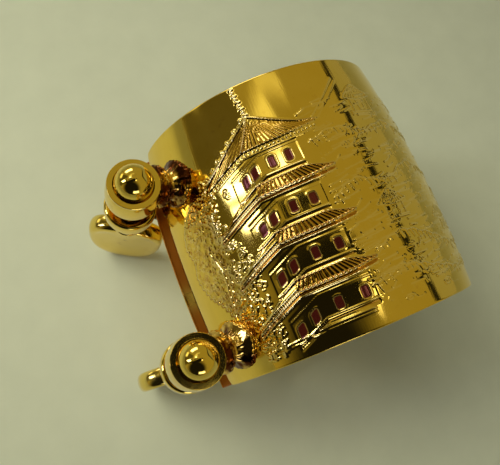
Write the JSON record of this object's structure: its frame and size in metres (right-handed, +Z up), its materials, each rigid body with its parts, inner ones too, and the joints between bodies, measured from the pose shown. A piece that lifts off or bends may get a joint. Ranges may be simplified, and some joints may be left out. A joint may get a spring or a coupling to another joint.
{
  "type": "saxophone ligature",
  "caption": "Engraved gold-plated band ligature, slit along one side and closed by two thumbscrews through ball-ended posts.",
  "frame": {"origin": "on the table under the middle of the whole object's box, lying on its side as it is put down", "axes": "+Y along the band's axis towards its narrow end, -X from the band towards the slit and its screw posts, +Z up along the screws, ball ends up"},
  "size_m": [0.035, 0.0248, 0.0279],
  "materials": {
    "sheet_gold": "polished, relief engraved, gold plated",
    "turned_gold": "turned and polished, gold plated",
    "screw_gold": "satin polished, gold plated"
  },
  "bodies": {
    "lower_half": {"band_lower_half": "sheet_gold", "front_plain_barrel": "turned_gold", "front_plain_foot": "turned_gold", "rear_plain_barrel": "turned_gold", "rear_plain_foot": "turned_gold"},
    "upper_half": {"band_upper_half": "sheet_gold", "front_threaded_barrel": "turned_gold", "front_threaded_foot": "turned_gold", "front_ball_finial": "turned_gold", "rear_threaded_barrel": "turned_gold", "rear_threaded_foot": "turned_gold", "rear_ball_finial": "turned_gold"},
    "front_screw": {"front_screw_shank": "screw_gold", "front_thumb_paddle": "screw_gold"},
    "rear_screw": {"rear_screw_shank": "screw_gold", "rear_thumb_paddle": "screw_gold"}
  },
  "joints": [
    {"name": "band_flex", "type": "hinge", "parent": "lower_half", "child": "upper_half", "pos_m": [0.01696, 0, 0.01393], "axis": [0, -1, 0], "range_deg": [-1.91, 1.91]},
    {"name": "front_screw_turn", "type": "hinge", "parent": "lower_half", "child": "front_screw", "pos_m": [-0.01339, -0.0091, 0.01393], "axis": [0, 0, 1], "range_deg": [-720, 720]},
    {"name": "rear_screw_turn", "type": "hinge", "parent": "lower_half", "child": "rear_screw", "pos_m": [-0.01309, 0.0071, 0.01393], "axis": [0, 0, 1], "range_deg": [-720, 720]}
  ],
  "couplings": [
    {"joint": "rear_screw_turn", "follows": "front_screw_turn", "ratio": 1},
    {"joint": "band_flex", "follows": "front_screw_turn", "ratio": 0.002622}
  ]
}
